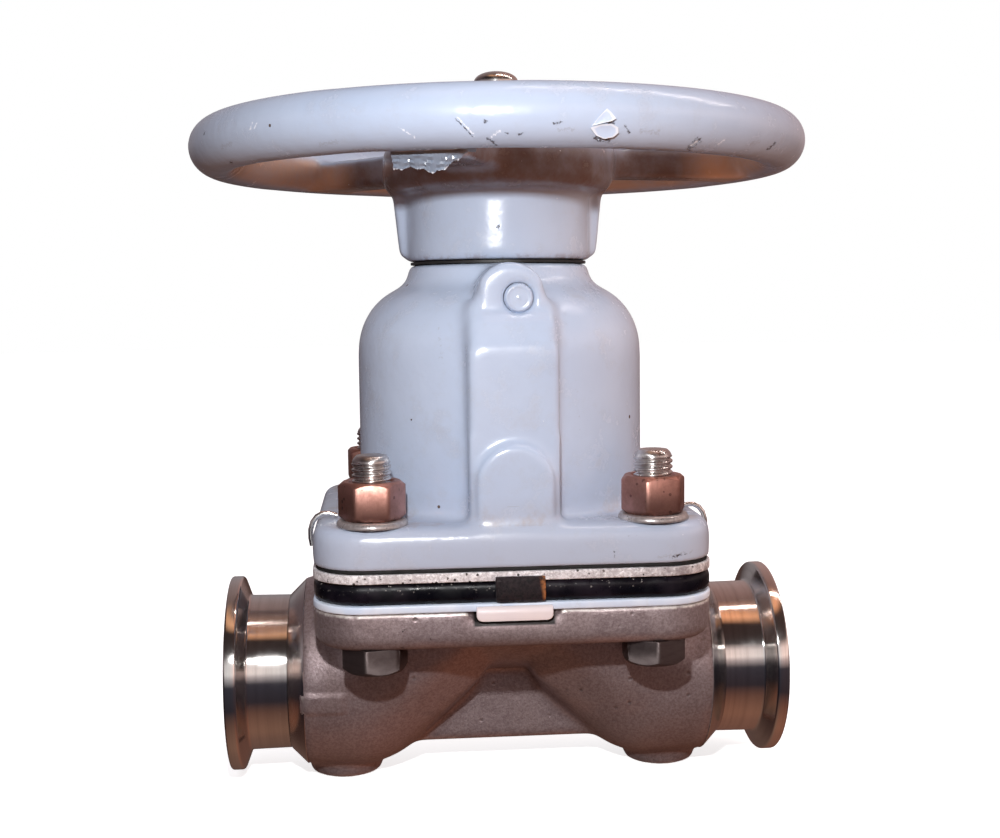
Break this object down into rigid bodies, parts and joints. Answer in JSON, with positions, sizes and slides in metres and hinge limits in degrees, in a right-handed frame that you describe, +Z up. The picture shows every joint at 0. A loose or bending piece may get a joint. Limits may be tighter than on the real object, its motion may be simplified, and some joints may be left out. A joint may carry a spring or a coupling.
{
  "type": "diaphragm valve",
  "caption": "Weir-type diaphragm valve with clamp ferrules, a bolted bonnet and a rising-stem handwheel that presses the diaphragm onto the weir.",
  "frame": {"origin": "on the surface the valve stands on, under the stem's axis, midway between the ferrule faces", "axes": "+X along the pipe towards the outlet ferrule, +Z up the stem; the front rib with the plug looks along -Y"},
  "size_m": [0.1994, 0.1994, 0.2332],
  "materials": {
    "cast_stainless": "bead-blasted cast stainless steel, a little stained",
    "polished_stainless": "turned and polished stainless steel",
    "ptfe": "white PTFE, waxy",
    "backing_rubber": "black moulded rubber",
    "plate_steel": "zinc-plated steel, pitted and rusting in places",
    "gasket_rubber": "black sheet rubber",
    "grey_coating": "light blue-grey plastic coating on cast iron, glossy, chipped in places",
    "bronze": "bearing bronze",
    "seal_rubber": "black seal rubber",
    "bright_steel": "bright stainless steel",
    "nut_bronze": "dull copper-brown bronze",
    "wire_steel": "bright spring wire",
    "dull_steel": "dull plated steel"
  },
  "bodies": {
    "valve": {"valve_body": "cast_stainless", "inlet_ferrule": "polished_stainless", "outlet_ferrule": "polished_stainless", "diaphragm": "ptfe", "diaphragm_backing": "backing_rubber", "finger_plate": "plate_steel", "bonnet_gasket": "gasket_rubber", "bonnet": "grey_coating", "bonnet_plug": "grey_coating", "bonnet_bush": "bronze", "sleeve_seals": "seal_rubber", "neck_seal": "seal_rubber", "flange_bolts": "bright_steel", "flange_washers": "bright_steel", "flange_nuts": "nut_bronze", "clip_wire_left": "wire_steel", "clip_wire_right": "wire_steel"},
    "wheel": {"handwheel": "grey_coating", "drive_sleeve": "bronze", "thrust_washer_lower": "bronze", "thrust_washer_upper": "bronze", "wheel_key": "dull_steel", "wheel_washer": "dull_steel", "wheel_nut": "dull_steel", "stem_seal": "seal_rubber"},
    "stem_group": {"stem": "polished_stainless", "compressor": "dull_steel", "compressor_pin": "bright_steel", "stud_nut": "bronze", "diaphragm_stud": "bright_steel"}
  },
  "joints": [
    {"name": "handwheel_turn", "type": "hinge", "parent": "valve", "child": "wheel", "pos_m": [0, 0, 0.207], "axis": [0, 0, 1], "range_deg": [-1980, 0]},
    {"name": "stem_slide", "type": "slide", "parent": "valve", "child": "stem_group", "axis": [0, 0, 1], "range_m": [-0.0275, 0], "deforming": ["diaphragm", "diaphragm_backing"]}
  ],
  "couplings": [
    {"joint": "stem_slide", "follows": "handwheel_turn", "m_per_rad": 0.00079577}
  ]
}
